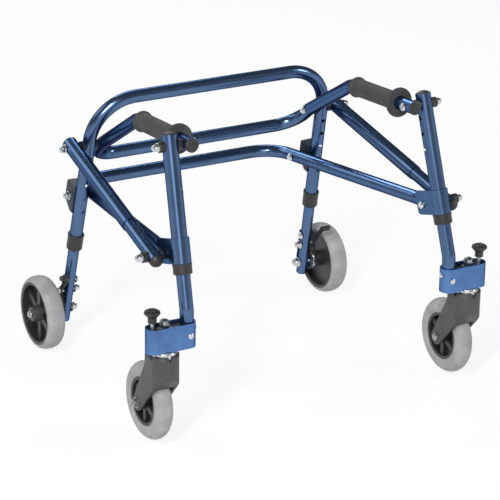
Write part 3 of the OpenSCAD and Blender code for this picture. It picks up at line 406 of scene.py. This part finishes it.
def paint_all():
    for part in frame["record"]["subparts"]:
        paint(part["node"], MATERIALS[part["material_slot"]])
    for side in SIDES:
        for piece, material in OWN_MATERIALS.items():
            paint(f"{side}_{piece}", material)
    paint("rear_pivot_mounts", bracket_material())


# Section of the rear tyres: seat on the rim, foot of the round tread, roundness of the tread
TYRE_SEAT = 0.05455
TREAD_FOOT = 0.055
TREAD_POWER = 2.1
TREAD_STEPS = 32
TYRE_STEPS = 128
TYRE_CREASE = math.radians(40.0)


def tyre_section(half_width):
    """Closed section of a tyre with a round tread: (distance from the axle, place along the axle)."""
    section = [(TYRE_SEAT, -half_width), (TYRE_SEAT, half_width)]
    for step in range(TREAD_STEPS + 1):
        angle = math.pi * step / TREAD_STEPS
        rise = max(math.sin(angle), 0.0) ** (2 / TREAD_POWER)
        along = math.copysign(abs(math.cos(angle)) ** (2 / TREAD_POWER), math.cos(angle))
        section.append((TREAD_FOOT + (WHEEL_RADIUS - TREAD_FOOT) * rise, half_width * along))
    return section


def tyre_mesh(name, centre, half_width):
    """The section turned around an axle that runs along X."""
    section = tyre_section(half_width)
    count = len(section)
    points, faces = [], []
    for ring in range(TYRE_STEPS):
        turn = math.tau * ring / TYRE_STEPS
        here, there = ring * count, (ring + 1) % TYRE_STEPS * count
        for a, (distance, along) in enumerate(section):
            place = (along, distance * math.cos(turn), distance * math.sin(turn))
            points.append([start + part for start, part in zip(centre, place)])
            b = (a + 1) % count
            faces.append((here + b, there + b, there + a, here + a))
    mesh = bpy.data.meshes.new(name)
    mesh.from_pydata(points, [], faces)
    mesh.shade_smooth()
    mesh.set_sharp_from_angle(angle=TYRE_CREASE)
    return mesh


def round_tyre(side, material):
    """A rear tyre whose tread is rounder than the solid's, in the place of the solid."""
    node = f"{side}_rear_tyre"
    low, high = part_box(node)
    mesh = tyre_mesh(f"{node}_round", middle(node), (high[0] - low[0]) / 2)
    mesh.materials.append(material)
    piece = bpy.data.objects.new(f"{node}_round", mesh)
    bpy.context.scene.collection.objects.link(piece)
    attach(piece, f"{side}_rear_wheel")
    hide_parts(node)


def round_rear_tyres():
    material = tyre_material("rear_tyre_grey", REAR_AXLE)
    for side in SIDES:
        round_tyre(side, material)


# Widths of the broken edges on the moulded and formed pieces
EDGE_WIDTHS = {
    "caster_housing": 0.0008, "fork": 0.0012, "front_strap": 0.0006, "pawl": 0.0004, "ratchet": 0.0003,
}
BRACKET_EDGE = 0.0012
EDGE_SEGMENTS = 2
SHARP_EDGE = math.radians(35.0)


def break_edges(node, width):
    """Round the sharp edges of a node a little, so that they catch the light."""
    bevel = NODES[node].modifiers.new("broken_edges", "BEVEL")
    bevel.width = width
    bevel.segments = EDGE_SEGMENTS
    bevel.limit_method = "ANGLE"
    bevel.angle_limit = SHARP_EDGE
    bevel.use_clamp_overlap = True
    bevel.harden_normals = True


def break_all_edges():
    for side in SIDES:
        for piece, width in EDGE_WIDTHS.items():
            break_edges(f"{side}_{piece}", width)
    break_edges("rear_pivot_mounts", BRACKET_EDGE)


# The floor: size, height just below the wheels, colour, clouding and roughness, and the shadow's strength
FLOOR_SIZE = 40.0
FLOOR_HEIGHT = -0.0005
PALE = (0.9, 0.9, 0.9)
FLOOR_CLOUDS = 3.0
FLOOR_DARKEST = 0.985
FLOOR_ROUGHNESS = 0.75
SHADOW_SHARE = 0.16


def floor():
    """A pale floor that shows white to the camera and in reflections, with a faint shadow."""
    bpy.ops.mesh.primitive_plane_add(size=FLOOR_SIZE, location=(0, 0, FLOOR_HEIGHT))
    plane = bpy.context.object
    plane.name = "floor"
    tree = Tree("floor_pale")
    new, join = tree.nodes.new, tree.join
    clouds = tree.patches(tree.noise(FLOOR_CLOUDS), shaded(PALE, FLOOR_DARKEST), PALE)
    tree.set(Base_Color=clouds, Roughness=FLOOR_ROUGHNESS)
    glow, shadow, seen, blend = (
        new(f"ShaderNode{kind}") for kind in ("Emission", "BsdfDiffuse", "AddShader", "MixShader")
    )
    glow.inputs["Strength"].default_value = 1.0 - SHADOW_SHARE
    shadow.inputs["Color"].default_value = (SHADOW_SHARE, SHADOW_SHARE, SHADOW_SHARE, 1.0)
    join(glow.outputs["Emission"], seen.inputs[0])
    join(shadow.outputs["BSDF"], seen.inputs[1])
    paths = new("ShaderNodeLightPath").outputs
    direct = tree.math("MAXIMUM", paths["Is Camera Ray"], paths["Is Glossy Ray"])
    direct = tree.math("MAXIMUM", direct, paths["Is Transmission Ray"])
    join(direct, blend.inputs["Fac"])
    join(tree.shader.outputs["BSDF"], blend.inputs[1])
    join(seen.outputs["Shader"], blend.inputs[2])
    join(blend.outputs["Shader"], tree.nodes["Material Output"].inputs["Surface"])
    plane.data.materials.append(tree.material)


# Place, size and power of the lights, and the point that they face
LIGHTS = {
    "key": ((-2.1, -2.0, 2.5), (0.5, 1.7), 98.0),
    "fill": ((2.7, -1.7, 1.9), (0.4, 1.5), 34.0),
    "back": ((0.6, 2.4, 2.2), (1.6, 0.4), 22.0),
}
LIGHT_AIM = (0.0, 0.0, 0.2)


def studio_light():
    for name, (position, size, power) in LIGHTS.items():
        data = bpy.data.lights.new(name, "AREA")
        data.shape = "RECTANGLE"
        data.size, data.size_y = size
        data.energy = power
        light = bpy.data.objects.new(name, data)
        bpy.context.scene.collection.objects.link(light)
        light.location = position
        light.rotation_euler = (Vector(LIGHT_AIM) - Vector(position)).to_track_quat("-Z", "Y").to_euler()


# Sine of the elevation and brightness of the studio's sky: a pale band at the horizon, dim above it
SKY = [(0.0, 0.9), (0.1, 0.85), (0.22, 0.25), (1.0, 0.16)]
# Soft boxes in the sky, for the streaks along uprights and struts: direction and strength
SOFT_BOXES = (((-0.45, -0.80, 0.40), 3.0), ((-0.55, 0.62, 0.56), 2.5))
# Cosines of the angles from a box's middle at which it starts and is at its full strength
SOFT_BOX_EDGE = (0.94, 0.985)


def soft_box(nodes, links, view, direction, strength):
    """Brightness of a round soft box in a direction of the sky."""
    facing = nodes.new("ShaderNodeVectorMath")
    facing.operation = "DOT_PRODUCT"
    facing.inputs[1].default_value = Vector(direction).normalized()
    links.new(view, facing.inputs[0])
    box = nodes.new("ShaderNodeMapRange")
    box.interpolation_type = "SMOOTHSTEP"
    box.inputs["From Min"].default_value, box.inputs["From Max"].default_value = SOFT_BOX_EDGE
    box.inputs["To Max"].default_value = strength
    links.new(facing.outputs["Value"], box.inputs["Value"])
    return box.outputs["Result"]


def studio_world():
    world = bpy.data.worlds.new("studio")
    bpy.context.scene.world = world
    world.use_nodes = True
    nodes, links = world.node_tree.nodes, world.node_tree.links
    nodes.clear()
    output = nodes.new("ShaderNodeOutputWorld")
    sky = nodes.new("ShaderNodeBackground")
    view = nodes.new("ShaderNodeTexCoord").outputs["Generated"]
    split = nodes.new("ShaderNodeSeparateXYZ")
    ramp = nodes.new("ShaderNodeValToRGB")
    fill_ramp(ramp.color_ramp.elements, SKY)
    links.new(view, split.inputs["Vector"])
    links.new(split.outputs["Z"], ramp.inputs["Fac"])
    brightness = ramp.outputs["Color"]
    for direction, strength in SOFT_BOXES:
        total = nodes.new("ShaderNodeMath")
        links.new(brightness, total.inputs[0])
        links.new(soft_box(nodes, links, view, direction, strength), total.inputs[1])
        brightness = total.outputs["Value"]
    links.new(brightness, sky.inputs["Strength"])
    links.new(sky.outputs["Background"], output.inputs["Surface"])


# The camera that fits the photograph: place, aim, roll and focal length
CAMERA_PLACE = (-1.83247, -3.24202, 1.64640)
CAMERA_AZIMUTH = math.radians(29.57)
CAMERA_ELEVATION = math.radians(21.25)
CAMERA_ROLL = math.radians(0.75)
FOCAL_PIXELS = 2391.4
IMAGE_SIZE = 500.0
AXIS_COLUMN = 248.92
SENSOR = 36.0
CLIP_END = 100.0


def photo_camera():
    data = bpy.data.cameras.new("photo_camera")
    camera = bpy.data.objects.new("photo_camera", data)
    bpy.context.scene.collection.objects.link(camera)
    ahead, aside = math.cos(CAMERA_AZIMUTH), math.sin(CAMERA_AZIMUTH)
    flat = math.cos(CAMERA_ELEVATION)
    aim = Vector((aside * flat, ahead * flat, -math.sin(CAMERA_ELEVATION)))
    right = Matrix.Rotation(-CAMERA_ROLL, 3, aim) @ Vector((ahead, -aside, 0.0))
    up = right.cross(aim)
    camera.matrix_world = Matrix.Translation(CAMERA_PLACE) @ Matrix((right, up, -aim)).transposed().to_4x4()
    data.sensor_width = SENSOR
    data.lens = FOCAL_PIXELS * SENSOR / IMAGE_SIZE
    data.shift_x = (IMAGE_SIZE / 2 - AXIS_COLUMN) / IMAGE_SIZE
    data.clip_end = CLIP_END
    bpy.context.scene.camera = camera


paint_all()
round_rear_tyres()
break_all_edges()
floor()
studio_light()
studio_world()
photo_camera()
bpy.context.scene.view_settings.view_transform = "Standard"
